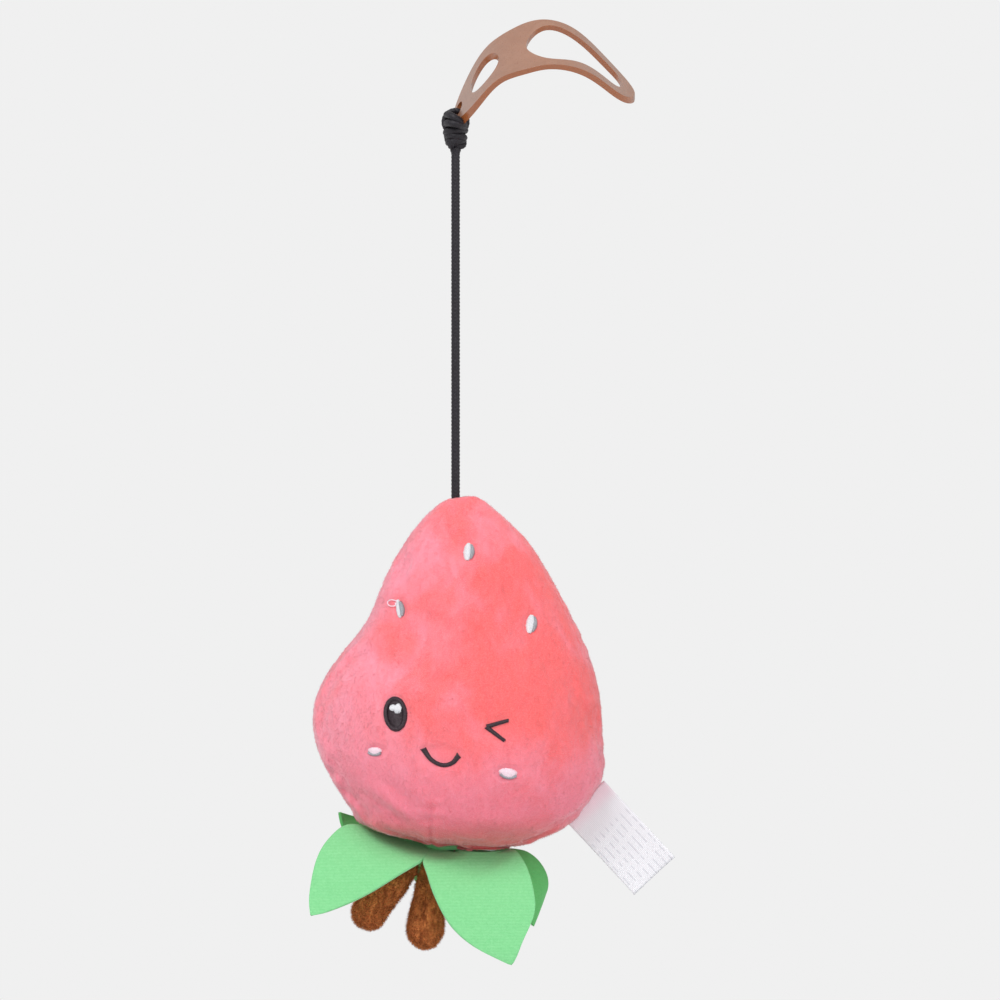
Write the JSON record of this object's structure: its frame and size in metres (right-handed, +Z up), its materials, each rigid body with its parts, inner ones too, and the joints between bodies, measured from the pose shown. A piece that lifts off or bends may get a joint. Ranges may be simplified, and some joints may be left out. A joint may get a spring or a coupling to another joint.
{
  "type": "hanging plush strawberry toy",
  "caption": "Soft stuffed strawberry with a stitched face, felt leaves and dangling legs, hung by a cord from an arched clip that grips a round rod.",
  "frame": {"origin": "on the axis of the rod, under the bridge of the clip", "axes": "+Z up, +X to the right of the face and along the rod's level direction, -Y the side that the face looks to"},
  "size_m": [0.1276, 0.068, 0.327],
  "materials": {
    "clip_plastic": "moulded, satin gloss",
    "cord_black": "braided",
    "plush_pink": "short pile plush, pink to coral",
    "fibre_fill": "polyester fibre",
    "felt_green": "pressed felt",
    "plush_brown": "long pile plush",
    "satin_white": "satin ribbon",
    "thread_black": "satin stitch",
    "thread_white": "satin stitch",
    "thread_grey": "satin stitch",
    "thread_pale_pink": "satin stitch"
  },
  "bodies": {
    "clip": {"hanger_clip": "clip_plastic"},
    "knot": {"cord_knot": "cord_black"},
    "cord": {"cord": "cord_black"},
    "anchor": {"anchor_knot": "cord_black"},
    "strawberry": {"front_panel": "plush_pink", "back_panel": "plush_pink", "stuffing": "fibre_fill", "calyx_centre": "felt_green", "eye": "thread_black", "eye_glint": "thread_white", "wink": "thread_black", "smile": "thread_black", "cheek_left": "thread_pale_pink", "cheek_right": "thread_pale_pink", "seed_top": "thread_grey", "seed_left": "thread_grey", "seed_right": "thread_grey", "seed_back_top": "thread_grey", "seed_back_left": "thread_grey", "seed_back_right": "thread_grey"},
    "leaf_front_left": {"leaf_front_left": "felt_green"},
    "leaf_front_right": {"leaf_front_right": "felt_green"},
    "leaf_right": {"leaf_right": "felt_green"},
    "leaf_back": {"leaf_back": "felt_green"},
    "leaf_back_left": {"leaf_back_left": "felt_green"},
    "leg_left": {"leg_left": "plush_brown", "leg_left_stuffing": "fibre_fill"},
    "leg_right": {"leg_right": "plush_brown", "leg_right_stuffing": "fibre_fill"},
    "label": {"care_label": "satin_white"}
  },
  "joints": [
    {"name": "knot_swing", "type": "hinge", "parent": "clip", "child": "knot", "pos_m": [-0.02081, 0.00904, -0.01569], "axis": [0, 1, 0], "range_deg": [-30, 30]},
    {"name": "cord_sway", "type": "hinge", "parent": "knot", "child": "cord", "pos_m": [-0.02081, 0.00904, -0.02539], "axis": [1, 0, 0], "range_deg": [-40, 40]},
    {"name": "toy_twist", "type": "hinge", "parent": "cord", "child": "anchor", "pos_m": [-0.02081, 0.00904, -0.1555], "axis": [0, 0, 1], "range_deg": [-180, 180]},
    {"name": "toy_rock", "type": "hinge", "parent": "anchor", "child": "strawberry", "pos_m": [-0.02081, 0.00904, -0.1476], "axis": [0, 1, 0], "range_deg": [-20, 20]},
    {"name": "leaf_front_left_flex", "type": "hinge", "parent": "strawberry", "child": "leaf_front_left", "pos_m": [-0.03926, 0.00012, -0.2736], "axis": [-0.5711, 0.2772, 0.7727], "range_deg": [-8, 20], "stiffness_Nm_per_rad": 0.004},
    {"name": "leaf_front_right_flex", "type": "hinge", "parent": "strawberry", "child": "leaf_front_right", "pos_m": [-0.02369, -0.00348, -0.2736], "axis": [-0.8527, -0.1831, -0.4892], "range_deg": [-8, 20], "stiffness_Nm_per_rad": 0.004},
    {"name": "leaf_right_flex", "type": "hinge", "parent": "strawberry", "child": "leaf_right", "pos_m": [-0.01545, 0.01023, -0.2736], "axis": [-0.2741, -0.8348, -0.4775], "range_deg": [-8, 8], "stiffness_Nm_per_rad": 0.004},
    {"name": "leaf_back_flex", "type": "hinge", "parent": "strawberry", "child": "leaf_back", "pos_m": [-0.02594, 0.02229, -0.2736], "axis": [0.9667, -0.1396, 0.2145], "range_deg": [-8, 35], "stiffness_Nm_per_rad": 0.004},
    {"name": "leaf_back_left_flex", "type": "hinge", "parent": "strawberry", "child": "leaf_back_left", "pos_m": [-0.04066, 0.01605, -0.2736], "axis": [0.6256, 0.7799, 0.0203], "range_deg": [-30, 8], "stiffness_Nm_per_rad": 0.004},
    {"name": "leg_left_swing", "type": "hinge", "parent": "strawberry", "child": "leg_left", "pos_m": [-0.0374, 0.00904, -0.277], "axis": [-1, 0, 0], "range_deg": [-20, 20]},
    {"name": "leg_right_swing", "type": "hinge", "parent": "strawberry", "child": "leg_right", "pos_m": [-0.0296, 0.00904, -0.277], "axis": [-1, 0, 0], "range_deg": [-20, 20]},
    {"name": "label_flex", "type": "hinge", "parent": "strawberry", "child": "label", "pos_m": [0.0263, 0.00904, -0.2553], "axis": [0.7317, 0, 0.6816], "range_deg": [-35, 35], "stiffness_Nm_per_rad": 0.0008}
  ]
}
